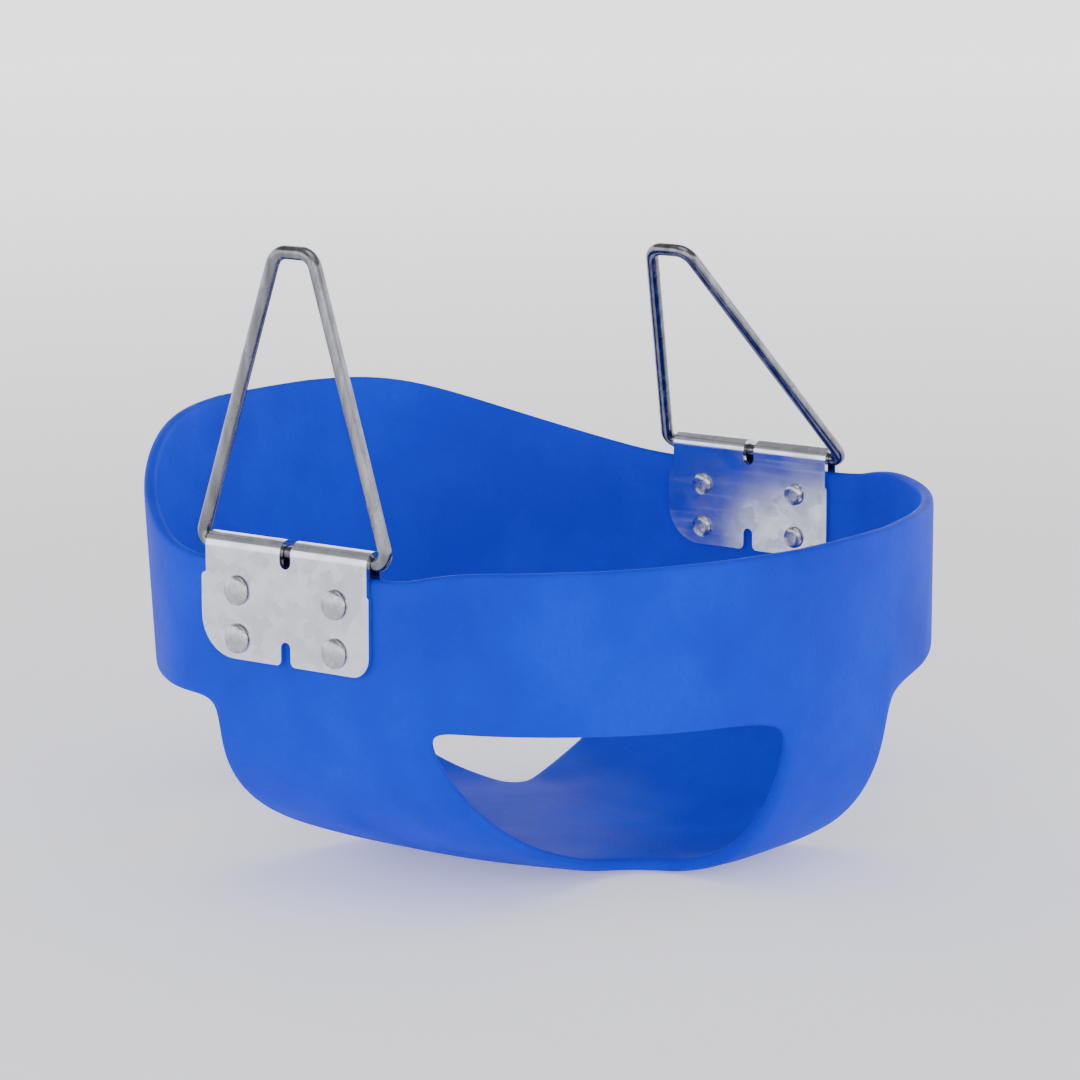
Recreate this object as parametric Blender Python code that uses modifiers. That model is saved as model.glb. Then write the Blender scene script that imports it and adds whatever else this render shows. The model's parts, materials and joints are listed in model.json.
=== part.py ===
"""Toddler bucket swing seat: moulded seat, two riveted steel clips and two steel hangers.

Metres, +Z up. The seat faces -Y, so its high back is at +Y and the hangers are at -X and +X.
The origin is under the middle of the seat, on the surface that it stands on.
"""
import math

import bmesh
import bpy
from mathutils import Matrix

# Seat, outer surface
SIDE_FLAT_X = 0.177        # flat stretch of the wall under the clips, each side
OVAL_HALF_WIDTH = 0.186    # the oval that the flats cut off
FRONT_DEPTH = 0.169
BACK_DEPTH = 0.156
OVAL_POWER = 2.3
BACK_FLARE = 0.013         # how far the back leans out by its top edge
BAND_BOTTOM = 0.084        # lower edge of the upright band, top of the leg holes
BAND_FRONT_DROP = 0.006    # how much lower that edge is at the front
RIM = 0.152
RIM_SADDLE = 0.146         # dip in the rim under the hanger bars
SADDLE_INNER = 0.056       # distances in front and behind, over which the rim rises again
SADDLE_OUTER = 0.082
RIM_BACK_RISE = 0.037
BACK_RISE_FULL = 26.0      # degrees from the back's middle where the high back ends its level top
BACK_RISE_END = 67.0       # degrees from the back's middle where the high back meets the side rim
WALL = 0.006

# Seat pan, straps, side pieces and leg holes. Reach is measured along the unrolled surface
# from the pan's middle.
PAN_FORWARD = 0.010        # the pan's middle lies this far in front of the band's middle
PAN_SIDE = 0.048           # half sizes of the pan's flat part
PAN_FRONT = 0.102
PAN_BACK = 0.085
PAN_POWER_FRONT = 3.0
PAN_POWER_BACK = 2.0
UNROLLED = 0.211
STRAP_HALF = 0.0385
SIDE_FRONT = 0.070         # front and rear edges of the side pieces
SIDE_BACK = 0.041
STRAP_TURN = 12.7          # degrees from the strap's middle to its edge, at the band
CORNER_ROUND_FRONT = 0.030
CORNER_ROUND_BACK = 0.012
LEG_CELLS = 4              # grid cells down a strap's edge, round the corner and up the side's edge
PAN_REACH = 0.062          # the middle lines bend here, where the corner begins
HOLE_TOP = (0.28, 0.56, 0.78, 0.90)
SPREAD = (0.0, 0.12, 0.5, 1.0)
EDGE_ROW = 0.005

# Clips, of sheet steel folded over the hanger bar, with a leaf on each face of the wall
SHEET = 0.0024
GAP = 0.0003
BAR_LIFT = 0.0029          # from the fold's inner circle down to the rim
LEAF_BACK = 0.047          # edges of a leaf, behind and in front of its middle
LEAF_FRONT = 0.0455
LEAF_BOTTOM = 0.104
FOLD_HALF = 0.0445
SLOT_HALF = 0.003          # slot across the middle of the fold
FOOT_NOTCH_HALF = 0.0026
FOOT_NOTCH_DEPTH = 0.0105
CORNER_FRONT = 0.009
CORNER_BACK = 0.018
SHOULDER = 0.008           # from the rim down to where a leaf narrows to the fold
FOLD_STEPS = 12
HOLE_STEPS = 14
ARC_STEPS = 4              # straight pieces in a small quarter arc

# Hangers, of round bar
BAR = 0.003
HANGER_HEIGHT = 0.128
HANGER_FOOT = 0.052        # half widths of the bar's centre line
HANGER_HEAD = 0.010
FOOT_BEND = 0.005
HEAD_BEND = 0.008
BEND_STEPS = 5
BUTT_JOINT = 0.036         # the bar's two ends meet here, inside the fold
BUTT_GAP = 0.0006
LEAN_LEFT = 1.0            # degrees inwards from upright
LEAN_RIGHT = 35.0

# The hanger bar's axis lies over the middle of the wall
BARREL = BAR + GAP
FOLD = BARREL + SHEET
AXIS_X = SIDE_FLAT_X - WALL / 2
AXIS_Z = RIM_SADDLE + BARREL + BAR_LIFT

# Along the flat sheet, from the outer leaf's lower edge to the inner leaf's
FOLD_MIDDLE = BARREL + SHEET / 2
FOLD_START = AXIS_Z - LEAF_BOTTOM
FOLD_LENGTH = math.pi * FOLD_MIDDLE
SHEET_LENGTH = 2 * FOLD_START + FOLD_LENGTH

# Rivets
RIVET_Y = 0.027
RIVET_Z = (0.134, 0.113)
SHANK = 0.003
HEAD_RADIUS = 0.0065
HEAD_HEIGHT = 0.0026
TAIL_RADIUS = 0.0052
TAIL_TIP = 0.0039
TAIL_HEIGHT = 0.0020
RIVET_STEPS = 14
DOME_STEPS = 4

BLUE = (0.006, 0.115, 0.680, 1.0)
ZINC = (0.620, 0.630, 0.680, 1.0)
BRIGHT_ZINC = (0.520, 0.530, 0.560, 1.0)
STEEL = (0.450, 0.460, 0.500, 1.0)


def clear_scene():
    for item in list(bpy.data.objects):
        bpy.data.objects.remove(item, do_unlink=True)


def new_collection(name):
    group = bpy.data.collections.new(name)
    bpy.context.scene.collection.children.link(group)
    return group


def new_material(name, colour, roughness, metallic):
    material = bpy.data.materials.new(name)
    material.use_nodes = True
    shader = material.node_tree.nodes["Principled BSDF"]
    shader.inputs["Base Color"].default_value = colour
    shader.inputs["Roughness"].default_value = roughness
    shader.inputs["Metallic"].default_value = metallic
    return material


def new_object(name, mesh, group, material=None):
    item = bpy.data.objects.new(name, mesh)
    group.objects.link(item)
    if material:
        mesh.materials.append(material)
    return item


def mesh_from(name, build):
    """A mesh filled in by build(bm)."""
    bm = bmesh.new()
    build(bm)
    mesh = bpy.data.meshes.new(name)
    bm.to_mesh(mesh)
    bm.free()
    return mesh


def blend(value):
    """Smooth step from 0 to 1."""
    value = min(max(value, 0.0), 1.0)
    return value * value * (3 - 2 * value)


def arc(centre, radius, start, end, steps):
    """Points of an arc, in degrees."""
    points = []
    for number in range(steps + 1):
        angle = math.radians(start + (end - start) * number / steps)
        points.append((centre[0] + radius * math.cos(angle), centre[1] + radius * math.sin(angle)))
    return points


def evenly(start, end, steps):
    """Points at equal steps along a line."""
    points = []
    for number in range(steps + 1):
        share = number / steps
        points.append((start[0] + (end[0] - start[0]) * share, start[1] + (end[1] - start[1]) * share))
    return points


def polar(turn, reach):
    return reach * math.sin(turn), reach * math.cos(turn)


# ---------------------------------------------------------------- seat surface
# A quarter's turn runs from 0 degrees at its strap (front or back) to 90 degrees at its side.

def oval_point(turn, is_back):
    """Distance to the side and away from the middle of the band's outline."""
    depth = BACK_DEPTH if is_back else FRONT_DEPTH
    across = math.sin(turn)
    along = math.cos(turn)
    total = abs(across / OVAL_HALF_WIDTH) ** OVAL_POWER + abs(along / depth) ** OVAL_POWER
    radius = total ** (-1 / OVAL_POWER)
    return min(radius * across, SIDE_FLAT_X), radius * along


def band_bottom(turn, is_back):
    return BAND_BOTTOM if is_back else BAND_BOTTOM - BAND_FRONT_DROP * math.cos(turn) ** 2


def rim_height(turn, is_back):
    along = oval_point(turn, is_back)[1]
    away = (along - SADDLE_INNER) / (SADDLE_OUTER - SADDLE_INNER)
    height = RIM_SADDLE + (RIM - RIM_SADDLE) * blend(away)
    if is_back:
        turned = math.degrees(turn)
        reach = 1 - (turned - BACK_RISE_FULL) / (BACK_RISE_END - BACK_RISE_FULL)
        height += RIM_BACK_RISE * blend(reach)
    return height


def band_point(turn, is_back, height):
    across, along = oval_point(turn, is_back)
    if is_back:
        share = (height - BAND_BOTTOM) / (RIM + RIM_BACK_RISE - BAND_BOTTOM)
        along += BACK_FLARE * share * math.cos(turn)
    return across, along, height


def bowl_point(turn, is_back, reach):
    """Point of the lower body at an unrolled distance from the pan's middle."""
    end = PAN_BACK if is_back else PAN_FRONT
    power = PAN_POWER_BACK if is_back else PAN_POWER_FRONT
    middle = -PAN_FORWARD if is_back else PAN_FORWARD
    total = abs(math.sin(turn) / PAN_SIDE) ** power + abs(math.cos(turn) / end) ** power
    pan = total ** (-1 / power)
    if reach <= pan:
        return reach * math.sin(turn), middle + reach * math.cos(turn), 0.0
    angle = math.pi / 2 * (reach - pan) / (UNROLLED - pan)
    out = math.sin(angle)
    across, along = oval_point(turn, is_back)
    return (pan * math.sin(turn) * (1 - out) + across * out,
            (middle + pan * math.cos(turn)) * (1 - out) + along * out,
            band_bottom(turn, is_back) * (1 - math.cos(angle)))


def hole_edge(is_back):
    """The leg hole's lower edge on the unrolled surface, from the strap round to the side."""
    side_edge = SIDE_BACK if is_back else SIDE_FRONT
    radius = CORNER_ROUND_BACK if is_back else CORNER_ROUND_FRONT
    side_turn = math.atan2(SIDE_FLAT_X, side_edge)
    strap_top = polar(math.radians(STRAP_TURN), UNROLLED)
    side_top = polar(side_turn, UNROLLED)
    if is_back:
        side_edge += PAN_FORWARD
    centre = (STRAP_HALF + radius, side_edge + radius)
    corner = arc(centre, radius, 180, 270, LEG_CELLS)
    down = evenly(strap_top, corner[0], LEG_CELLS)
    up = evenly(corner[-1], side_top, LEG_CELLS)
    return down[:-1] + corner + up[1:]


def middle_line():
    """The line down the strap's middle and up the side's middle, on the unrolled surface."""
    down = evenly((0, UNROLLED), (0, PAN_REACH), LEG_CELLS)
    inner = evenly((0, PAN_REACH), (0, 0), LEG_CELLS // 2)
    half = down[:-1] + inner
    return half + [(reach, 0) for _, reach in reversed(half[:-1])]


def lower_grid(is_back):
    """Turns and reaches in lines from the leg hole's edge to the middle line."""
    lines = []
    for edge, middle in zip(hole_edge(is_back), middle_line()):
        line = []
        for spread in SPREAD:
            across = edge[0] * (1 - spread) + middle[0] * spread
            along = edge[1] * (1 - spread) + middle[1] * spread
            line.append((math.atan2(across, along), math.hypot(across, along)))
        lines.append(line)
    for line in (lines[0], lines[-1]):
        line[:] = [(turn, UNROLLED) for turn, _ in line]
    return lines


def band_turns(is_back):
    """Turns of the band's columns, so that they meet the strap's and the side's grids."""
    lines = lower_grid(is_back)
    strap = [turn for turn, _ in reversed(lines[0])]
    side = [turn for turn, _ in lines[-1]]
    between = [strap[-1] + (side[0] - strap[-1]) * share for share in HOLE_TOP]
    return strap + between + side


def band_heights(turn, is_back):
    bottom = band_bottom(turn, is_back)
    top = rim_height(turn, is_back)
    low = bottom + EDGE_ROW
    high = top - EDGE_ROW
    third = (high - low) / 3
    return (bottom, low, low + third, low + 2 * third, high, top)


def add_grid(bm, rows, flip):
    """Quads between rows of points, wound so that they face out."""
    lines = [[bm.verts.new(point) for point in row] for row in rows]
    for line, following in zip(lines, lines[1:]):
        for number in range(len(line) - 1):
            corners = [line[number], line[number + 1], following[number + 1], following[number]]
            if flip:
                corners.reverse()
            bm.faces.new(corners)


def placed(point, side, forward):
    return side * point[0], forward * point[1], point[2]


def fill_seat(bm):
    """The seat's outer surface, as four quarters welded at their edges."""
    for side in (1, -1):
        for is_back in (False, True):
            forward = 1 if is_back else -1
            columns = []
            for turn in band_turns(is_back):
                points = [band_point(turn, is_back, height) for height in band_heights(turn, is_back)]
                columns.append([placed(point, side, forward) for point in points])
            add_grid(bm, columns, side * forward < 0)
            lines = []
            for line in lower_grid(is_back):
                points = [bowl_point(turn, is_back, reach) for turn, reach in line]
                lines.append([placed(point, side, forward) for point in points])
            add_grid(bm, lines, side * forward > 0)
    bmesh.ops.remove_doubles(bm, verts=bm.verts, dist=0.00001)


def make_seat(group, cutters, material):
    seat = new_object("bucket_seat", mesh_from("bucket_seat", fill_seat), group, material)
    shell = seat.modifiers.new("wall", "SOLIDIFY")
    shell.thickness = WALL
    shell.offset = -1
    shell.use_even_offset = True
    smooth = seat.modifiers.new("rounding", "SUBSURF")
    smooth.levels = 1
    smooth.render_levels = 1
    seat.data.shade_smooth()
    drill = new_object("rivet_drills", mesh_from("rivet_drills", fill_drills), cutters)
    drill.hide_render = True
    drill.display_type = "WIRE"
    cut = seat.modifiers.new("rivet_holes", "BOOLEAN")
    cut.operation = "DIFFERENCE"
    cut.solver = "EXACT"
    cut.object = drill
    return seat


def rivet_places():
    """Each rivet's side, its place on that side, and its number there."""
    for side in (-1, 1):
        number = 0
        for height in RIVET_Z:
            for along in (-RIVET_Y, RIVET_Y):
                number += 1
                yield side, along, height, number


def fill_drills(bm):
    for side, along, height, _ in rivet_places():
        place = Matrix.Translation((side * AXIS_X, along, height))
        turn = Matrix.Rotation(math.pi / 2, 4, "Y")
        bmesh.ops.create_cone(bm, cap_ends=True, segments=HOLE_STEPS, radius1=SHANK + GAP,
                              radius2=SHANK + GAP, depth=WALL * 3, matrix=place @ turn)


# ---------------------------------------------------------------- clips

def leaf_half(edge, corner):
    """Half of a leaf's outline, from the middle of its foot notch, out to its edge and up to the fold."""
    foot = FOOT_NOTCH_HALF
    shoulder_height = RIM_SADDLE - LEAF_BOTTOM - SHOULDER
    crown = arc((0, FOOT_NOTCH_DEPTH - foot), foot, 90, 0, ARC_STEPS)
    flare = arc((foot + foot, foot), foot, 180, 270, ARC_STEPS)
    rounded = arc((edge - corner, corner), corner, -90, 0, 2 * ARC_STEPS)
    shoulder = arc((FOLD_HALF, shoulder_height), edge - FOLD_HALF, 0, 90, ARC_STEPS)
    return crown + flare + rounded + shoulder


def clip_outline():
    """Flat pattern of a clip: distance along Y, and distance along the sheet."""
    back = leaf_half(LEAF_BACK, CORNER_BACK)
    front = [(-along, up) for along, up in leaf_half(LEAF_FRONT, CORNER_FRONT)]
    inner_back = [(along, SHEET_LENGTH - up) for along, up in reversed(back)]
    inner_front = [(along, SHEET_LENGTH - up) for along, up in front[1:]]
    return back + inner_back + inner_front + front[:0:-1]


def slot_outline():
    end = RIM_SADDLE - LEAF_BOTTOM + SLOT_HALF
    return (arc((0, end), SLOT_HALF, 180, 360, 2 * ARC_STEPS)
            + arc((0, SHEET_LENGTH - end), SLOT_HALF, 0, 180, 2 * ARC_STEPS))


def hole_outlines():
    outlines = []
    for height in RIVET_Z:
        for up in (height - LEAF_BOTTOM, SHEET_LENGTH - height + LEAF_BOTTOM):
            for along in (-RIVET_Y, RIVET_Y):
                outlines.append(arc((along, up), SHANK + GAP, 0, 360, HOLE_STEPS)[:-1])
    return outlines


def flat_pattern(name, group):
    """The clip before folding, as a filled and extruded 2D curve made into a mesh."""
    curve = bpy.data.curves.new(name, "CURVE")
    curve.dimensions = "2D"
    curve.fill_mode = "BOTH"
    curve.extrude = SHEET / 2
    for outline in [clip_outline(), slot_outline()] + hole_outlines():
        spline = curve.splines.new("POLY")
        spline.points.add(len(outline) - 1)
        for point, (along, up) in zip(spline.points, outline):
            point.co = (along, up, 0, 1)
        spline.use_cyclic_u = True
    drawing = bpy.data.objects.new(name, curve)
    group.objects.link(drawing)
    depsgraph = bpy.context.evaluated_depsgraph_get()
    mesh = bpy.data.meshes.new_from_object(drawing.evaluated_get(depsgraph))
    bpy.data.objects.remove(drawing, do_unlink=True)
    return mesh


def fold(mesh, side):
    """Cut the flat pattern across at each bend line and fold it over the bar's axis."""
    bm = bmesh.new()
    bm.from_mesh(mesh)
    bmesh.ops.remove_doubles(bm, verts=bm.verts, dist=0.000001)
    for number in range(FOLD_STEPS + 1):
        bend = FOLD_START + FOLD_LENGTH * number / FOLD_STEPS
        geometry = bm.verts[:] + bm.edges[:] + bm.faces[:]
        bmesh.ops.bisect_plane(bm, geom=geometry, dist=0.000001, plane_co=(0, bend, 0),
                               plane_no=(0, 1, 0))
    for vertex in bm.verts:
        along, up, depth = vertex.co
        radius = FOLD_MIDDLE + depth
        angle = min(max(up - FOLD_START, 0.0), FOLD_LENGTH) / FOLD_MIDDLE
        rise = min(up, FOLD_START, SHEET_LENGTH - up) + LEAF_BOTTOM
        vertex.co = (side * (AXIS_X + radius * math.cos(angle)),
                     along,
                     rise + radius * math.sin(angle))
    if side < 0:
        bmesh.ops.reverse_faces(bm, faces=bm.faces)
    bm.to_mesh(mesh)
    bm.free()


def make_clip(name, side, group, material):
    mesh = flat_pattern(name, group)
    mesh.materials.clear()
    fold(mesh, side)
    new_object(name, mesh, group, material)
    mesh.set_sharp_from_angle(angle=math.radians(35))


# ---------------------------------------------------------------- hangers

def rounded_path(corners, radii, steps):
    """Open path through corner points, in a plane, with each inner corner as an arc."""
    points = [corners[0]]
    for before, corner, after, radius in zip(corners, corners[1:], corners[2:], radii):
        back = (before[0] - corner[0], before[1] - corner[1])
        ahead = (after[0] - corner[0], after[1] - corner[1])
        back_angle = math.atan2(back[1], back[0])
        ahead_angle = math.atan2(ahead[1], ahead[0])
        opening = (ahead_angle - back_angle + math.pi) % (2 * math.pi) - math.pi
        half = abs(opening) / 2
        bisector = back_angle + opening / 2
        reach = radius / math.sin(half)
        centre = (corner[0] + reach * math.cos(bisector), corner[1] + reach * math.sin(bisector))
        sweep = math.degrees(math.pi - 2 * half) * math.copysign(1, -opening)
        start = math.degrees(back_angle) + math.copysign(90, -opening)
        points += arc(centre, radius, start, start + sweep, steps)
    points.append(corners[-1])
    return points


def make_hanger(name, side, lean, group, material):
    """Bar bent to a triangle, its origin on its hinge axis in the clip's fold."""
    corners = [(BUTT_JOINT + BUTT_GAP / 2, 0), (HANGER_FOOT, 0), (HANGER_HEAD, HANGER_HEIGHT),
               (-HANGER_HEAD, HANGER_HEIGHT), (-HANGER_FOOT, 0), (BUTT_JOINT - BUTT_GAP / 2, 0)]
    path = rounded_path(corners, (FOOT_BEND, HEAD_BEND, HEAD_BEND, FOOT_BEND), BEND_STEPS)
    curve = bpy.data.curves.new(name, "CURVE")
    curve.dimensions = "3D"
    curve.bevel_depth = BAR
    curve.bevel_resolution = 2
    curve.use_fill_caps = True
    spline = curve.splines.new("POLY")
    spline.points.add(len(path) - 1)
    for point, (along, up) in zip(spline.points, path):
        point.co = (0, along, up, 1)
    spline.use_smooth = True
    curve.materials.append(material)
    hanger = bpy.data.objects.new(name, curve)
    group.objects.link(hanger)
    hanger.location = (side * AXIS_X, 0, AXIS_Z)
    hanger.rotation_euler = (0, -side * math.radians(lean), 0)
    return hanger


# ---------------------------------------------------------------- rivets

def rivet_profile():
    """Radius and height down the outer side of a rivet, from its domed head to its tail."""
    top = FOLD + GAP
    dome = []
    for number in range(DOME_STEPS + 1):
        angle = math.radians(90 * (1 - number / DOME_STEPS))
        dome.append((HEAD_RADIUS * math.cos(angle), top + HEAD_HEIGHT * math.sin(angle)))
    return dome + [(SHANK, top), (SHANK, -top), (TAIL_RADIUS, -top),
                   (TAIL_TIP, -top - TAIL_HEIGHT), (0, -top - TAIL_HEIGHT)]


def fill_rivet(bm):
    profile = [bm.verts.new((radius, 0, height)) for radius, height in rivet_profile()]
    for upper, lower in zip(profile, profile[1:]):
        bm.edges.new((upper, lower))


def make_rivets(group, material):
    for side, along, height, number in rivet_places():
        name = f"{'left' if side < 0 else 'right'}_rivet_{number}"
        rivet = new_object(name, mesh_from(name, fill_rivet), group, material)
        turned = rivet.modifiers.new("turned", "SCREW")
        turned.steps = RIVET_STEPS
        turned.render_steps = RIVET_STEPS
        turned.use_merge_vertices = True
        turned.merge_threshold = 0.00001
        rivet.location = (side * AXIS_X, along, height)
        rivet.rotation_euler = (0, side * math.pi / 2, 0)
        rivet.data.shade_smooth()


def main():
    clear_scene()
    group = new_collection("toddler_bucket_swing")
    cutters = new_collection("cutters")
    moulded = new_material("moulded_blue", BLUE, 0.38, 0.0)
    plated = new_material("zinc_plate", ZINC, 0.42, 1.0)
    bar = new_material("zinc_bar", BRIGHT_ZINC, 0.30, 1.0)
    riveted = new_material("rivet_steel", STEEL, 0.35, 1.0)
    make_seat(group, cutters, moulded)
    for side, word, lean in ((-1, "left", LEAN_LEFT), (1, "right", LEAN_RIGHT)):
        make_clip(f"{word}_clip_plate", side, group, plated)
        make_hanger(f"{word}_hanger", side, lean, group, bar)
    make_rivets(group, riveted)


main()
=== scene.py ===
import json
import math

import bmesh
import bpy
from mathutils import Matrix, Vector


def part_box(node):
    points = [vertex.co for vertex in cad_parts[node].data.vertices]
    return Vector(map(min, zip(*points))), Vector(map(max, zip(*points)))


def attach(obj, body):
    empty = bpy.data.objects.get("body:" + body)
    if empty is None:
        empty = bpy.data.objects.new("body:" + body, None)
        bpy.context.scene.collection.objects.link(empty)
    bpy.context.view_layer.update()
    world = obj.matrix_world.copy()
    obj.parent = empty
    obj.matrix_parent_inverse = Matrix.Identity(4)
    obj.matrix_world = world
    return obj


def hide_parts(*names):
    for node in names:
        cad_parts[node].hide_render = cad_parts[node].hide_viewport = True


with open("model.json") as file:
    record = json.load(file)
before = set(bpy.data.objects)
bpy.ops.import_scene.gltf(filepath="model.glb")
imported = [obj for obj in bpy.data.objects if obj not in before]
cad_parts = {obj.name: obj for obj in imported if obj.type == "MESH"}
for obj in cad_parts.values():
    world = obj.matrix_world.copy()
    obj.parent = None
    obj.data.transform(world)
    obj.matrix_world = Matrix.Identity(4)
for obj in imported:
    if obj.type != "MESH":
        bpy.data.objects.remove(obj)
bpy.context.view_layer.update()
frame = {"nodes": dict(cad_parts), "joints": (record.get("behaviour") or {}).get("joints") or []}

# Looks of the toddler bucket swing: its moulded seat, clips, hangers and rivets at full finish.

SIDES = {"left": -1, "right": 1}

# The named sizes are in metres and the named angles in degrees.
WELD = 0.00001             # points closer than this become one

# Seat, outer surface
SIDE_FLAT_X = 0.177        # flat stretch of the wall under the clips, each side
OVAL_HALF_WIDTH = 0.186    # the oval that the flats cut off
FRONT_DEPTH = 0.169
BACK_DEPTH = 0.156
OVAL_POWER = 2.3
BACK_FLARE = 0.013         # how far the back leans out by its top edge
BAND_BOTTOM = 0.084        # lower edge of the upright band, top of the leg holes
BAND_FRONT_DROP = 0.006    # how much lower that edge is at the front
RIM = 0.152
RIM_SADDLE = 0.146         # dip in the rim under the hanger bars
SADDLE_INNER = 0.056       # distances in front and behind, over which the rim rises again
SADDLE_OUTER = 0.082
RIM_BACK_RISE = 0.037
BACK_RISE_FULL = 26.0      # from the back's middle to where the high back ends its level top
BACK_RISE_END = 67.0       # from the back's middle to where the high back meets the side rim
WALL = 0.006

# Seat pan, straps, side pieces and leg holes. Reach is measured along the unrolled surface
# from the pan's middle.
PAN_FORWARD = 0.010        # the pan's middle lies this far in front of the band's middle
PAN_SIDE = 0.048           # half sizes of the pan's flat part
PAN_FRONT = 0.102
PAN_BACK = 0.085
PAN_POWER_FRONT = 3.0
PAN_POWER_BACK = 2.0
UNROLLED = 0.211           # reach of the band's lower edge
STRAP_HALF = 0.0385
SIDE_FRONT = 0.070         # front and rear edges of the side pieces
SIDE_BACK = 0.041
STRAP_TURN = 12.7          # from the strap's middle to its edge, at the band
CORNER_ROUND_FRONT = 0.030
CORNER_ROUND_BACK = 0.012
LEG_CELLS = 4              # grid cells down a strap's edge, round the corner and up the side's edge
PAN_REACH = 0.062          # reach on a middle line, across from the start of a leg hole's corner
HOLE_TOP = (0.28, 0.56, 0.78, 0.90)    # columns over a leg hole, in shares of the way across
SPREAD = (0.0, 0.12, 0.5, 1.0)         # rows from a leg hole's edge to the middle line, in shares
EDGE_ROW = 0.005           # height of the rows along the band's edges

# Finish of the seat
SEAT_LEVELS = 3            # times that every face is split in four
DRILL_STEPS = 32
DRILL_LENGTH = 3 * WALL
CREASE = 50.0              # edges that turn more than this stay sharp, on the seat and the rivets
FOOT_HEIGHT = 0.016        # the seat's underside is scuffed below this

# Finish of the clips
SHEET_WELD = 0.000005
SHEET_FACET = 1.0          # facets that turn less than this become one flat face
SHEET_CORNER = 45.0        # edges that turn more than this are rounded
SHEET_EDGE = 0.0005        # rounding of the sheet's cut edges
SHEET_EDGE_STEPS = 3
SHEET_GRID = 0.004         # spacing of the lines across the flat faces

# Hangers
BAR = 0.003                # radius
HANGER_HEIGHT = 0.128
HANGER_FOOT = 0.052        # half widths of the bar's centre line
HANGER_HEAD = 0.010
FOOT_BEND = 0.005          # radii of the bends, at the bar's centre line
HEAD_BEND = 0.008
BEND_STEPS = 12
BUTT_JOINT = 0.036         # where the bar's two ends meet, along its base
BUTT_GAP = 0.0006
BAR_ROUNDNESS = 8          # extra points on each half of the bar's round section
LEAN = {"left": 1.0, "right": 35.0}    # inwards from upright, at rest

# Rivets
SHANK = 0.003              # radius
HOLE_GAP = 0.0003          # clearance of a rivet in the seat's wall
HEAD_RADIUS = 0.0065
HEAD_HEIGHT = 0.0026
DOME_STEPS = 8
TAIL_RADIUS = 0.0052
TAIL_HEIGHT = 0.0020
TAIL_CROWN = ((0.93, 0.4), (0.70, 0.0625), (0.35, 0.0), (0.0, 0.0))    # shares of radius and height
RIVET_EDGE = 0.0005        # rounding of the head's and the tail's rims
RIVETS = range(1, 5)
RIVET_STEPS = 48

# Camera and stage
CAMERA_TURN = -53.0        # from the seat's front towards its left side
CAMERA_RISE = 10.2
CAMERA_DISTANCE = 2.0
CAMERA_LENS = 146.0        # mm, on a 36 mm sensor
CAMERA_NEAREST = 0.05
CAMERA_AIM = Vector((0, 0, 0.133))
FLOOR_REACH = 5.0          # flat floor round the object
COVE = 1.5                 # radius of its curve up into the backdrop
COVE_STEPS = 12
STAGE_STEPS = 96
WALL_TOP = 3.5
FLOOR_DROP = 0.0002        # so that floor and seat don't share a plane
GLOW_START = 0.8           # the floor's glow grows between these distances from the object
GLOW_END = 3.0
FLOOR_GLOW = 0.35          # its strength near the object
FAR_GLOW = 1.10            # and far away

# Lights, each with its place, the point it is aimed at, its diameter and its power in watts
LIGHTS = {
    "top": ((-0.4, -0.3, 2.2), (0, 0, 0.1), 1.6, 9.0),
    "front_left": ((-1.8, -1.0, 1.3), (0, 0, 0.1), 1.1, 5.5),
    "front_right": ((0.9, -2.0, 1.0), (0, 0, 0.1), 0.9, 2.5),
    "rear": ((1.2, 1.8, 1.5), (0, 0, 0.15), 0.9, 3.0),
}
SKY_COLOUR = (0.98, 0.98, 1.0, 1.0)
SKY_STRENGTH = 0.38

# Colours, linear
BLUE_DEEP = (0.0002, 0.022, 0.56, 1.0)
BLUE_CLEAR = (0.0004, 0.036, 0.70, 1.0)
BLUE_SPECK = (0.0006, 0.022, 0.46, 1.0)
BLUE_WORN = (0.04, 0.16, 0.74, 1.0)
BLUE_SCUFFED = (0.08, 0.17, 0.55, 1.0)
ZINC_BRIGHT = (0.78, 0.80, 0.86, 1.0)
ZINC_DULL = (0.58, 0.60, 0.67, 1.0)
ZINC_DARK = (0.44, 0.45, 0.50, 1.0)
BAR_DARK = (0.13, 0.13, 0.145, 1.0)
BAR_BRIGHT = (0.26, 0.265, 0.285, 1.0)
BAR_SPOT = (0.12, 0.12, 0.13, 1.0)
STEEL_BRIGHT = (0.52, 0.53, 0.56, 1.0)
STEEL_DULL = (0.38, 0.38, 0.41, 1.0)
STEEL_RUBBED = (0.72, 0.72, 0.74, 1.0)
PAPER_GLOW = (0.97, 0.97, 1.0, 1.0)
PAPER_COOL = (0.93, 0.93, 0.95, 1.0)
PAPER_PLAIN = (0.95, 0.95, 0.955, 1.0)


def mesh_from(name, build):
    """A mesh filled in by build(bm)."""
    bm = bmesh.new()
    build(bm)
    mesh = bpy.data.meshes.new(name)
    bm.to_mesh(mesh)
    bm.free()
    return mesh


def blend(value):
    """Smooth step from 0 to 1."""
    value = min(max(value, 0.0), 1.0)
    return value * value * (3 - 2 * value)


def arc(centre, radius, start, end, steps):
    """Points of an arc, in degrees."""
    points = []
    for number in range(steps + 1):
        angle = math.radians(start + (end - start) * number / steps)
        points.append((centre[0] + radius * math.cos(angle), centre[1] + radius * math.sin(angle)))
    return points


def evenly(start, end, steps):
    """Points at equal steps along a line."""
    points = []
    for number in range(steps + 1):
        share = number / steps
        points.append((start[0] + (end[0] - start[0]) * share, start[1] + (end[1] - start[1]) * share))
    return points


def polar(turn, reach):
    return reach * math.sin(turn), reach * math.cos(turn)


def new_object(name, mesh):
    item = bpy.data.objects.new(name, mesh)
    bpy.context.scene.collection.objects.link(item)
    return item


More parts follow.
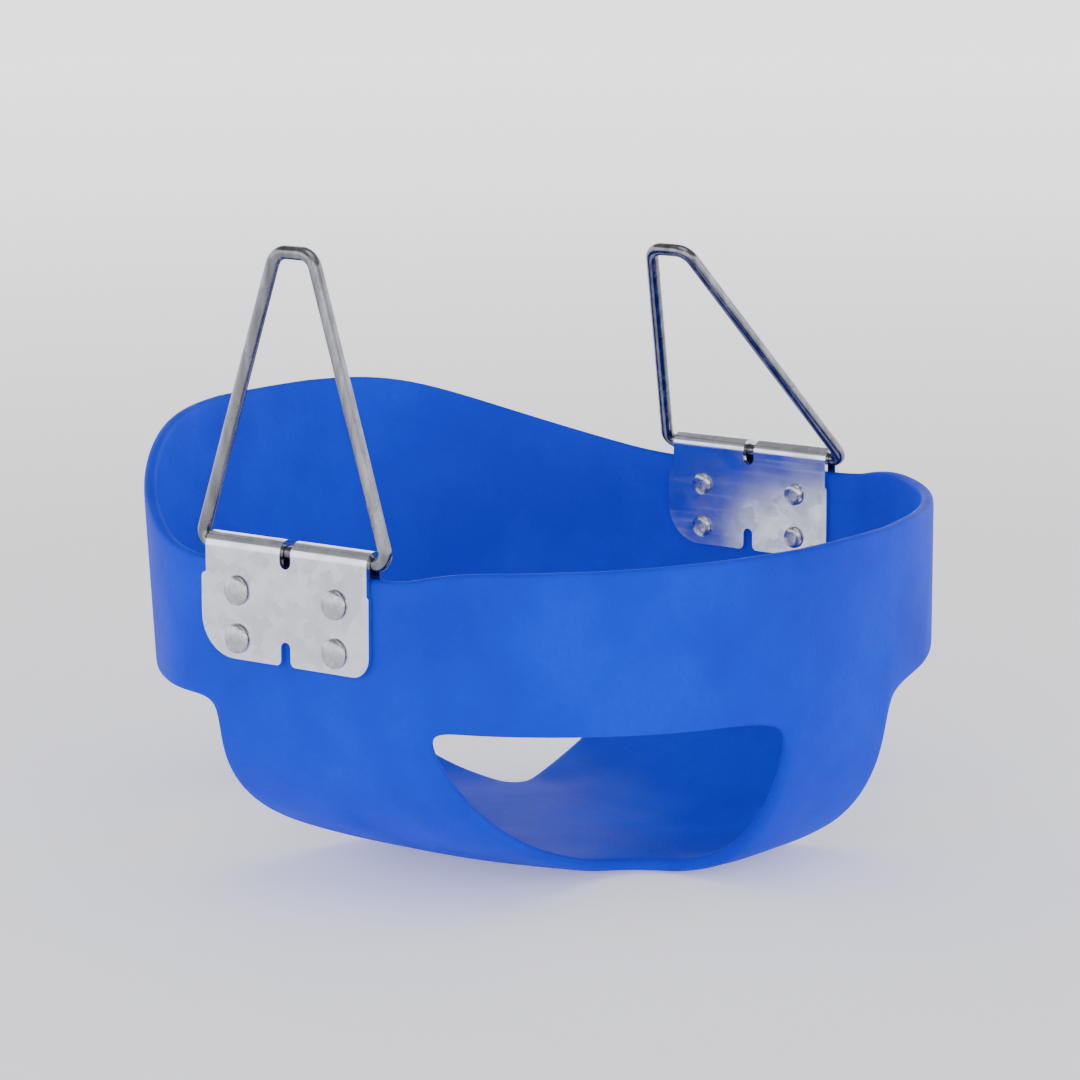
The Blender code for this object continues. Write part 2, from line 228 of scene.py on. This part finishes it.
def turned_piece(name, profile, steps):
    """A profile of radius and height, turned about Z."""
    def fill(bm):
        verts = [bm.verts.new((radius, 0, height)) for radius, height in profile]
        for upper, lower in zip(verts, verts[1:]):
            bm.edges.new((upper, lower))

    piece = new_object(name, mesh_from(name, fill))
    turned = piece.modifiers.new("turned", "SCREW")
    turned.steps = steps
    turned.render_steps = steps
    turned.use_merge_vertices = True
    turned.merge_threshold = WELD
    return piece


def finished(item):
    """The object's mesh with its modifiers worked in, on an object of its own."""
    depsgraph = bpy.context.evaluated_depsgraph_get()
    mesh = bpy.data.meshes.new_from_object(item.evaluated_get(depsgraph))
    mesh.transform(item.matrix_world)
    name = item.name
    bpy.data.objects.remove(item, do_unlink=True)
    mesh.name = name
    return new_object(name, mesh)


def dress(piece, body, slot, material, *nodes):
    """Give a piece its finish, stand it in for its CAD nodes and let it ride on its body."""
    piece.data.materials.clear()
    piece.data.materials.append(material)
    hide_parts(*nodes)
    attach(piece, body)


# ---------------------------------------------------------------- seat surface
# A turn is in radians. In each quarter it runs from 0 at the strap (front or back) to a right
# angle at the side.

def oval_point(turn, is_back):
    """Distance to the side and away from the middle of the band's outline."""
    depth = BACK_DEPTH if is_back else FRONT_DEPTH
    across = math.sin(turn)
    along = math.cos(turn)
    total = abs(across / OVAL_HALF_WIDTH) ** OVAL_POWER + abs(along / depth) ** OVAL_POWER
    radius = total ** (-1 / OVAL_POWER)
    return min(radius * across, SIDE_FLAT_X), radius * along


def band_bottom(turn, is_back):
    return BAND_BOTTOM if is_back else BAND_BOTTOM - BAND_FRONT_DROP * math.cos(turn) ** 2


def rim_height(turn, is_back):
    along = oval_point(turn, is_back)[1]
    away = (along - SADDLE_INNER) / (SADDLE_OUTER - SADDLE_INNER)
    height = RIM_SADDLE + (RIM - RIM_SADDLE) * blend(away)
    if is_back:
        turned = math.degrees(turn)
        reach = 1 - (turned - BACK_RISE_FULL) / (BACK_RISE_END - BACK_RISE_FULL)
        height += RIM_BACK_RISE * blend(reach)
    return height


def band_point(turn, is_back, height):
    across, along = oval_point(turn, is_back)
    if is_back:
        share = (height - BAND_BOTTOM) / (RIM + RIM_BACK_RISE - BAND_BOTTOM)
        along += BACK_FLARE * share * math.cos(turn)
    return across, along, height


def bowl_point(turn, is_back, reach):
    """Point of the lower body at an unrolled distance from the pan's middle."""
    end = PAN_BACK if is_back else PAN_FRONT
    power = PAN_POWER_BACK if is_back else PAN_POWER_FRONT
    middle = -PAN_FORWARD if is_back else PAN_FORWARD
    total = abs(math.sin(turn) / PAN_SIDE) ** power + abs(math.cos(turn) / end) ** power
    pan = total ** (-1 / power)
    if reach <= pan:
        return reach * math.sin(turn), middle + reach * math.cos(turn), 0.0
    angle = math.pi / 2 * (reach - pan) / (UNROLLED - pan)
    out = math.sin(angle)
    across, along = oval_point(turn, is_back)
    return (pan * math.sin(turn) * (1 - out) + across * out,
            (middle + pan * math.cos(turn)) * (1 - out) + along * out,
            band_bottom(turn, is_back) * (1 - math.cos(angle)))


def hole_edge(is_back):
    """The leg hole's lower edge on the unrolled surface, from the strap round to the side."""
    side_edge = SIDE_BACK if is_back else SIDE_FRONT
    radius = CORNER_ROUND_BACK if is_back else CORNER_ROUND_FRONT
    side_turn = math.atan2(SIDE_FLAT_X, side_edge)
    strap_top = polar(math.radians(STRAP_TURN), UNROLLED)
    side_top = polar(side_turn, UNROLLED)
    if is_back:
        side_edge += PAN_FORWARD
    centre = (STRAP_HALF + radius, side_edge + radius)
    corner = arc(centre, radius, 180, 270, LEG_CELLS)
    down = evenly(strap_top, corner[0], LEG_CELLS)
    up = evenly(corner[-1], side_top, LEG_CELLS)
    return down[:-1] + corner + up[1:]


def middle_line():
    """The line down the strap's middle and up the side's middle, on the unrolled surface."""
    down = evenly((0, UNROLLED), (0, PAN_REACH), LEG_CELLS)
    inner = evenly((0, PAN_REACH), (0, 0), LEG_CELLS // 2)
    half = down[:-1] + inner
    return half + [(reach, 0) for _, reach in reversed(half[:-1])]


def lower_grid(is_back):
    """Turns and reaches in lines from the leg hole's edge to the middle line."""
    lines = []
    for edge, middle in zip(hole_edge(is_back), middle_line()):
        line = []
        for spread in SPREAD:
            across = edge[0] * (1 - spread) + middle[0] * spread
            along = edge[1] * (1 - spread) + middle[1] * spread
            line.append((math.atan2(across, along), math.hypot(across, along)))
        lines.append(line)
    for line in (lines[0], lines[-1]):
        line[:] = [(turn, UNROLLED) for turn, _ in line]
    return lines


def band_turns(is_back):
    """Turns of the band's columns, so that they meet the strap's and the side's grids."""
    lines = lower_grid(is_back)
    strap = [turn for turn, _ in reversed(lines[0])]
    side = [turn for turn, _ in lines[-1]]
    between = [strap[-1] + (side[0] - strap[-1]) * share for share in HOLE_TOP]
    return strap + between + side


def band_heights(turn, is_back):
    bottom = band_bottom(turn, is_back)
    top = rim_height(turn, is_back)
    low = bottom + EDGE_ROW
    high = top - EDGE_ROW
    third = (high - low) / 3
    return (bottom, low, low + third, low + 2 * third, high, top)


def add_grid(bm, rows, flip):
    """Quads between rows of points, wound so that they face out."""
    lines = [[bm.verts.new(point) for point in row] for row in rows]
    for line, following in zip(lines, lines[1:]):
        for number in range(len(line) - 1):
            corners = [line[number], line[number + 1], following[number + 1], following[number]]
            if flip:
                corners.reverse()
            bm.faces.new(corners)


def placed(point, side, forward):
    return side * point[0], forward * point[1], point[2]


def fill_seat(bm):
    """The seat's outer surface, as four quarters welded at their edges."""
    for side in (1, -1):
        for is_back in (False, True):
            forward = 1 if is_back else -1
            columns = []
            for turn in band_turns(is_back):
                points = [band_point(turn, is_back, height) for height in band_heights(turn, is_back)]
                columns.append([placed(point, side, forward) for point in points])
            add_grid(bm, columns, side * forward < 0)
            lines = []
            for line in lower_grid(is_back):
                points = [bowl_point(turn, is_back, reach) for turn, reach in line]
                lines.append([placed(point, side, forward) for point in points])
            add_grid(bm, lines, side * forward > 0)
    bmesh.ops.remove_doubles(bm, verts=bm.verts, dist=WELD)


def make_seat(material):
    seat = new_object("moulded_bucket", mesh_from("moulded_bucket", fill_seat))
    shell = seat.modifiers.new("wall", "SOLIDIFY")
    shell.thickness = WALL
    shell.offset = -1
    shell.use_even_offset = True
    smooth = seat.modifiers.new("rounding", "SUBSURF")
    smooth.levels = SEAT_LEVELS
    smooth.render_levels = SEAT_LEVELS
    drills = new_object("rivet_drills", mesh_from("rivet_drills", fill_drills))
    cut = seat.modifiers.new("rivet_holes", "BOOLEAN")
    cut.operation = "DIFFERENCE"
    cut.solver = "EXACT"
    cut.object = drills
    seat.data.shade_smooth()
    seat = finished(seat)
    bpy.data.objects.remove(drills, do_unlink=True)
    seat.data.set_sharp_from_angle(angle=math.radians(CREASE))
    dress(seat, "bucket", "moulded_blue", material, "bucket_seat")


def rivet_centre(node):
    """Where a rivet's axis crosses the plane of its side's hanger bar."""
    low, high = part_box(node)
    side = math.copysign(1, low.x)
    return Vector((side * axis_x(), (low.y + high.y) / 2, (low.z + high.z) / 2))


def axis_x():
    return abs(frame["joints"][0]["pos_m"][0])


def fill_drills(bm):
    """Round cutters for the rivet holes, through the wall on both sides."""
    for side in SIDES:
        for number in RIVETS:
            place = Matrix.Translation(rivet_centre(f"{side}_rivet_{number}"))
            turn = Matrix.Rotation(math.pi / 2, 4, "Y")
            bmesh.ops.create_cone(bm, cap_ends=True, segments=DRILL_STEPS, radius1=SHANK + HOLE_GAP,
                                  radius2=SHANK + HOLE_GAP, depth=DRILL_LENGTH, matrix=place @ turn)


# ---------------------------------------------------------------- clips

def cut_grid(bm):
    """Lines across the flat faces, so that shading read from the vertices stays close to the edges."""
    for axis in (1, 2):
        places = [vert.co[axis] for vert in bm.verts]
        low = min(places)
        for number in range(1, math.ceil((max(places) - low) / SHEET_GRID)):
            plane = Vector((0, 0, 0))
            plane[axis] = low + number * SHEET_GRID
            normal = Vector((0, 0, 0))
            normal[axis] = 1
            everything = [*bm.verts, *bm.edges, *bm.faces]
            bmesh.ops.bisect_plane(bm, geom=everything, dist=WELD, plane_co=plane, plane_no=normal)


def make_clip(side, material):
    """The CAD sheet with its flat faces made whole again and its cut edges rounded."""
    node = f"{side}_clip_plate"
    bm = bmesh.new()
    bm.from_mesh(frame["nodes"][node].data)
    bmesh.ops.remove_doubles(bm, verts=bm.verts, dist=SHEET_WELD)
    bmesh.ops.dissolve_limit(bm, angle_limit=math.radians(SHEET_FACET), verts=bm.verts, edges=bm.edges)
    cut_grid(bm)
    mesh = bpy.data.meshes.new(f"{side}_clip")
    bm.to_mesh(mesh)
    bm.free()
    clip = new_object(f"{side}_clip", mesh)
    rounded = clip.modifiers.new("cut_edges", "BEVEL")
    rounded.width = SHEET_EDGE
    rounded.segments = SHEET_EDGE_STEPS
    rounded.limit_method = "ANGLE"
    rounded.angle_limit = math.radians(SHEET_CORNER)
    rounded.face_strength_mode = "FSTR_ALL"
    shading = clip.modifiers.new("flat_faces", "WEIGHTED_NORMAL")
    shading.use_face_influence = True
    mesh.shade_smooth()
    dress(finished(clip), "bucket", "zinc_plate", material, node)


# ---------------------------------------------------------------- hangers

def rounded_path(corners, radii):
    """Open path through corner points, in a plane, with each inner corner as an arc."""
    points = [corners[0]]
    for before, corner, after, radius in zip(corners, corners[1:], corners[2:], radii):
        back = (before[0] - corner[0], before[1] - corner[1])
        ahead = (after[0] - corner[0], after[1] - corner[1])
        back_angle = math.atan2(back[1], back[0])
        ahead_angle = math.atan2(ahead[1], ahead[0])
        opening = (ahead_angle - back_angle + math.pi) % (2 * math.pi) - math.pi
        half = abs(opening) / 2
        bisector = back_angle + opening / 2
        reach = radius / math.sin(half)
        centre = (corner[0] + reach * math.cos(bisector), corner[1] + reach * math.sin(bisector))
        sweep = math.degrees(math.pi - 2 * half) * math.copysign(1, -opening)
        start = math.degrees(back_angle) + math.copysign(90, -opening)
        points += arc(centre, radius, start, start + sweep, BEND_STEPS)
    points.append(corners[-1])
    return points


def make_hanger(side, joint, material):
    corners = [(BUTT_JOINT + BUTT_GAP / 2, 0), (HANGER_FOOT, 0), (HANGER_HEAD, HANGER_HEIGHT),
               (-HANGER_HEAD, HANGER_HEIGHT), (-HANGER_FOOT, 0), (BUTT_JOINT - BUTT_GAP / 2, 0)]
    path = rounded_path(corners, (FOOT_BEND, HEAD_BEND, HEAD_BEND, FOOT_BEND))
    curve = bpy.data.curves.new(f"{side}_hanger_bar", "CURVE")
    curve.dimensions = "3D"
    curve.bevel_depth = BAR
    curve.bevel_resolution = BAR_ROUNDNESS
    curve.use_fill_caps = True
    spline = curve.splines.new("POLY")
    spline.points.add(len(path) - 1)
    for point, (along, up) in zip(spline.points, path):
        point.co = (0, along, up, 1)
    spline.use_smooth = True
    bar = bpy.data.objects.new(f"{side}_hanger_bar", curve)
    bpy.context.scene.collection.objects.link(bar)
    bar.location = joint["pos_m"]
    bar.rotation_euler = (0, -SIDES[side] * math.radians(LEAN[side]), 0)
    bpy.context.view_layer.update()
    bar = finished(bar)
    dress(bar, f"{side}_hanger", "zinc_bar", material, f"{side}_hanger")


# ---------------------------------------------------------------- rivets

def rivet_profile(low, high):
    """Radius and height down the outer side, from the domed head to the peened tail."""
    head = high - HEAD_HEIGHT
    tail = low + TAIL_HEIGHT
    rim = head + RIVET_EDGE
    points = [(HEAD_RADIUS * across, rim + (high - rim) * up)
              for across, up in arc((0, 0), 1, 90, 0, DOME_STEPS)]
    points += [(HEAD_RADIUS - RIVET_EDGE / 3, head + RIVET_EDGE / 3), (HEAD_RADIUS - RIVET_EDGE, head)]
    points += [(SHANK, head), (SHANK, tail)]
    points += [(TAIL_RADIUS - RIVET_EDGE, tail), (TAIL_RADIUS, tail - RIVET_EDGE)]
    points += [(TAIL_RADIUS * across, low + TAIL_HEIGHT * up) for across, up in TAIL_CROWN]
    return points


def make_rivet(side, number, material):
    node = f"{side}_rivet_{number}"
    low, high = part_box(node)
    centre = rivet_centre(node)
    outer = max(abs(low.x), abs(high.x)) - abs(centre.x)
    inner = min(abs(low.x), abs(high.x)) - abs(centre.x)
    rivet = turned_piece(f"{node}_body", rivet_profile(inner, outer), RIVET_STEPS)
    rivet.location = centre
    rivet.rotation_euler = (0, SIDES[side] * math.pi / 2, 0)
    bpy.context.view_layer.update()
    rivet = finished(rivet)
    rivet.data.shade_smooth()
    rivet.data.set_sharp_from_angle(angle=math.radians(CREASE))
    dress(rivet, "bucket", "rivet_steel", material, node)


# ---------------------------------------------------------------- materials

class Recipe:
    """A material's node tree, with short ways to add and join its nodes.

    A pattern's scale is how often it repeats in a metre.
    """

    def __init__(self, name):
        self.material = bpy.data.materials.new(name)
        self.material.use_nodes = True
        self.tree = self.material.node_tree
        self.shader = self.tree.nodes["Principled BSDF"]
        self.place = self.tree.nodes.new("ShaderNodeTexCoord").outputs["Object"]

    def set(self, **values):
        for name, value in values.items():
            self.shader.inputs[name.replace("_", " ")].default_value = value

    def wire(self, source, target):
        self.tree.links.new(source, target)

    def feed(self, node, name, value):
        """Join a socket to an input, or set the input to a number or a colour."""
        if isinstance(value, bpy.types.NodeSocket):
            self.wire(value, node.inputs[name])
        else:
            node.inputs[name].default_value = value

    def stretched(self, scale):
        mapping = self.tree.nodes.new("ShaderNodeMapping")
        mapping.inputs["Scale"].default_value = scale
        self.wire(self.place, mapping.inputs["Vector"])
        return mapping.outputs["Vector"]

    def noise(self, scale, detail=4.0, roughness=0.5, vector=None):
        node = self.tree.nodes.new("ShaderNodeTexNoise")
        node.inputs["Scale"].default_value = scale
        node.inputs["Detail"].default_value = detail
        node.inputs["Roughness"].default_value = roughness
        self.wire(vector or self.place, node.inputs["Vector"])
        return node.outputs["Fac"]

    def cells(self, scale, output="Distance"):
        node = self.tree.nodes.new("ShaderNodeTexVoronoi")
        node.inputs["Scale"].default_value = scale
        self.wire(self.place, node.inputs["Vector"])
        return node.outputs[output]

    def remap(self, value, low, high, to_low=0.0, to_high=1.0):
        """Stretch the values from low to high over another range, and hold them inside it."""
        node = self.tree.nodes.new("ShaderNodeMapRange")
        node.clamp = True
        node.inputs["From Min"].default_value = low
        node.inputs["From Max"].default_value = high
        node.inputs["To Min"].default_value = to_low
        node.inputs["To Max"].default_value = to_high
        self.wire(value, node.inputs["Value"])
        return node.outputs["Result"]

    def maths(self, operation, first, second):
        node = self.tree.nodes.new("ShaderNodeMath")
        node.operation = operation
        self.feed(node, 0, first)
        self.feed(node, 1, second)
        return node.outputs[0]

    def product(self, first, second):
        return self.maths("MULTIPLY", first, second)

    def total(self, first, second):
        return self.maths("ADD", first, second)

    def mix(self, share, first, second):
        """Blend two colours, each a colour or a socket."""
        node = self.tree.nodes.new("ShaderNodeMix")
        node.data_type = "RGBA"
        factor, first_colour, second_colour, result = 0, 6, 7, 2
        self.feed(node, factor, share)
        self.feed(node, first_colour, first)
        self.feed(node, second_colour, second)
        return node.outputs[result]

    def edges(self, low, high):
        """1 on the outer edges of the mesh and 0 on its faces."""
        geometry = self.tree.nodes.new("ShaderNodeNewGeometry")
        return self.remap(geometry.outputs["Pointiness"], low, high)

    def vertical(self, vector):
        node = self.tree.nodes.new("ShaderNodeSeparateXYZ")
        self.wire(vector, node.inputs[0])
        return node.outputs["Z"]

    def near_floor(self):
        return self.remap(self.vertical(self.place), low=0.0, high=FOOT_HEIGHT, to_low=1.0, to_high=0.0)

    def facing_down(self):
        normal = self.tree.nodes.new("ShaderNodeTexCoord").outputs["Normal"]
        return self.remap(self.vertical(normal), low=-0.6, high=-0.2, to_low=1.0, to_high=0.0)

    def bump(self, height, distance, strength, below=None):
        node = self.tree.nodes.new("ShaderNodeBump")
        node.inputs["Distance"].default_value = distance
        node.inputs["Strength"].default_value = strength
        self.wire(height, node.inputs["Height"])
        if below:
            self.wire(below, node.inputs["Normal"])
        return node.outputs["Normal"]

    def finish(self, colour, roughness, normal):
        self.wire(colour, self.shader.inputs["Base Color"])
        self.wire(roughness, self.shader.inputs["Roughness"])
        self.wire(normal, self.shader.inputs["Normal"])
        return self.material


def moulded_blue():
    """Satin moulded polymer: fine leathery grain, faint flow clouds, scuffs on its edges and foot."""
    recipe = Recipe("moulded_blue_finish")
    recipe.set(IOR=1.45, Specular_IOR_Level=0.07)

    clouds = recipe.noise(scale=14.0, detail=3.0, roughness=0.55)
    specks = recipe.noise(scale=420.0, detail=2.0)
    colour = recipe.mix(recipe.remap(clouds, low=0.35, high=0.65), BLUE_DEEP, BLUE_CLEAR)
    colour = recipe.mix(recipe.remap(specks, low=0.35, high=0.75, to_high=0.16), colour, BLUE_SPECK)

    rubbed = recipe.noise(scale=55.0, detail=5.0, roughness=0.65)
    worn = recipe.product(recipe.edges(0.53, 0.60), recipe.remap(rubbed, low=0.48, high=0.66))
    colour = recipe.mix(recipe.product(worn, 0.35), colour, BLUE_WORN)

    dragged = recipe.noise(scale=60.0, detail=6.0, roughness=0.7, vector=recipe.stretched((1.0, 6.0, 1.0)))
    underside = recipe.product(recipe.near_floor(), recipe.facing_down())
    scuffed = recipe.product(underside, recipe.remap(dragged, low=0.52, high=0.62))
    colour = recipe.mix(recipe.product(scuffed, 0.30), colour, BLUE_SCUFFED)

    satin = recipe.noise(scale=38.0, detail=4.0)
    roughness = recipe.remap(satin, low=0.3, high=0.7, to_low=0.50, to_high=0.60)
    roughness = recipe.total(roughness, recipe.product(scuffed, 0.18))
    roughness = recipe.total(roughness, recipe.product(worn, 0.10))

    grain = recipe.bump(recipe.cells(scale=620.0), distance=0.0003, strength=0.35)
    waves = recipe.bump(recipe.noise(scale=22.0, detail=2.0), distance=0.0012, strength=0.16, below=grain)
    return recipe.finish(colour, roughness, waves)


def zinc_plate():
    """Zinc-coated sheet: crystal spangle, dull bloom, fine scratches and brighter rubbed edges."""
    recipe = Recipe("zinc_plate_finish")
    recipe.set(Metallic=1.0)

    crystals = recipe.cells(scale=170.0, output="Color")
    bloom = recipe.noise(scale=70.0, detail=5.0, roughness=0.6)
    scratches = recipe.noise(scale=150.0, detail=3.0, vector=recipe.stretched((1.0, 0.12, 3.0)))
    colour = recipe.mix(recipe.remap(crystals, low=0.2, high=0.8, to_high=0.85), ZINC_BRIGHT, ZINC_DULL)
    colour = recipe.mix(recipe.remap(bloom, low=0.45, high=0.75, to_high=0.40), colour, ZINC_DARK)
    colour = recipe.mix(recipe.product(recipe.edges(0.52, 0.58), 0.5), colour, ZINC_BRIGHT)

    roughness = recipe.remap(bloom, low=0.3, high=0.7, to_low=0.12, to_high=0.20)
    duller = recipe.remap(crystals, low=0.0, high=1.0, to_low=-0.02, to_high=0.03)
    roughness = recipe.total(roughness, duller)
    roughness = recipe.total(roughness, recipe.remap(scratches, low=0.55, high=0.7, to_high=0.05))

    dents = recipe.bump(recipe.noise(scale=60.0, detail=2.0), distance=0.0003, strength=0.08)
    fine = recipe.bump(scratches, distance=0.00003, strength=0.12, below=dents)
    return recipe.finish(colour, roughness, fine)


def zinc_bar():
    """Bright zinc on drawn round bar, with drawing lines and a few dull spots."""
    recipe = Recipe("zinc_bar_finish")
    recipe.set(Metallic=1.0)

    lines = recipe.noise(scale=240.0, detail=3.0, vector=recipe.stretched((1.0, 1.0, 0.05)))
    spots = recipe.noise(scale=110.0, detail=5.0, roughness=0.65)
    colour = recipe.mix(recipe.remap(lines, low=0.3, high=0.7), BAR_DARK, BAR_BRIGHT)
    colour = recipe.mix(recipe.remap(spots, low=0.56, high=0.72, to_high=0.6), colour, BAR_SPOT)

    drawn = recipe.remap(lines, low=0.3, high=0.7, to_low=0.16, to_high=0.26)
    roughness = recipe.total(drawn, recipe.remap(spots, low=0.52, high=0.7, to_high=0.14))
    return recipe.finish(colour, roughness, recipe.bump(lines, distance=0.00008, strength=0.25))


def rivet_steel():
    """Plated rivet: hammered dome with dull and bright patches."""
    recipe = Recipe("rivet_steel_finish")
    recipe.set(Metallic=1.0)

    patches = recipe.noise(scale=320.0, detail=4.0, roughness=0.6)
    colour = recipe.mix(recipe.remap(patches, low=0.35, high=0.65), STEEL_BRIGHT, STEEL_DULL)
    colour = recipe.mix(recipe.product(recipe.edges(0.52, 0.62), 0.6), colour, STEEL_RUBBED)

    roughness = recipe.remap(patches, low=0.3, high=0.7, to_low=0.22, to_high=0.36)
    hammered = recipe.bump(recipe.cells(scale=520.0), distance=0.0004, strength=0.20)
    return recipe.finish(colour, roughness, hammered)


def studio_white():
    """Matt paper that glows a little, and more so away from the object."""
    recipe = Recipe("studio_white")
    recipe.set(Specular_IOR_Level=0.2, Emission_Color=PAPER_GLOW)

    distance = recipe.tree.nodes.new("ShaderNodeVectorMath")
    distance.operation = "LENGTH"
    recipe.wire(recipe.place, distance.inputs[0])
    glow = recipe.remap(distance.outputs["Value"], GLOW_START, GLOW_END, FLOOR_GLOW, FAR_GLOW)
    recipe.wire(glow, recipe.shader.inputs["Emission Strength"])

    clouds = recipe.noise(scale=0.6, detail=2.0)
    roughness = recipe.remap(clouds, low=0.3, high=0.7, to_low=0.75, to_high=0.85)
    paper = recipe.bump(recipe.noise(scale=300.0, detail=2.0), distance=0.0002, strength=0.1)
    return recipe.finish(recipe.mix(clouds, PAPER_COOL, PAPER_PLAIN), roughness, paper)


# ---------------------------------------------------------------- stage

def make_stage():
    """A pale floor that curves up into a round backdrop."""
    points = [(0, 0), (FLOOR_REACH, 0)]
    points += arc((FLOOR_REACH, COVE), COVE, -90, 0, COVE_STEPS)[1:]
    points.append((FLOOR_REACH + COVE, WALL_TOP))
    floor = turned_piece("studio_floor", points[::-1], STAGE_STEPS)
    floor.data.shade_smooth()
    floor.data.materials.append(studio_white())
    floor.location.z = -FLOOR_DROP


def make_light(name, place, aim, size, power):
    light = bpy.data.lights.new(name, "AREA")
    light.shape = "DISK"
    light.size = size
    light.energy = power
    lamp = bpy.data.objects.new(name, light)
    bpy.context.scene.collection.objects.link(lamp)
    lamp.location = place
    lamp.rotation_euler = (Vector(aim) - Vector(place)).to_track_quat("-Z", "Y").to_euler()


def make_studio():
    world = bpy.data.worlds.new("studio")
    bpy.context.scene.world = world
    world.use_nodes = True
    sky = world.node_tree.nodes["Background"]
    sky.inputs["Color"].default_value = SKY_COLOUR
    sky.inputs["Strength"].default_value = SKY_STRENGTH
    for name, settings in LIGHTS.items():
        make_light(name, *settings)


def make_camera():
    turn = math.radians(CAMERA_TURN)
    rise = math.radians(CAMERA_RISE)
    away = Vector((math.sin(turn) * math.cos(rise), -math.cos(turn) * math.cos(rise), math.sin(rise)))
    lens = bpy.data.cameras.new("camera")
    lens.lens = CAMERA_LENS
    lens.clip_start = CAMERA_NEAREST
    camera = bpy.data.objects.new("camera", lens)
    bpy.context.scene.collection.objects.link(camera)
    camera.location = CAMERA_AIM + away * CAMERA_DISTANCE
    camera.rotation_euler = (-away).to_track_quat("-Z", "Y").to_euler()
    bpy.context.scene.camera = camera


def main():
    make_camera()
    make_studio()
    make_stage()
    make_seat(moulded_blue())
    sheet = zinc_plate()
    bar = zinc_bar()
    steel = rivet_steel()
    joints = {joint["child"]: joint for joint in frame["joints"]}
    for side in SIDES:
        make_clip(side, sheet)
        make_hanger(side, joints[f"{side}_hanger"], bar)
        for number in RIVETS:
            make_rivet(side, number, steel)


main()
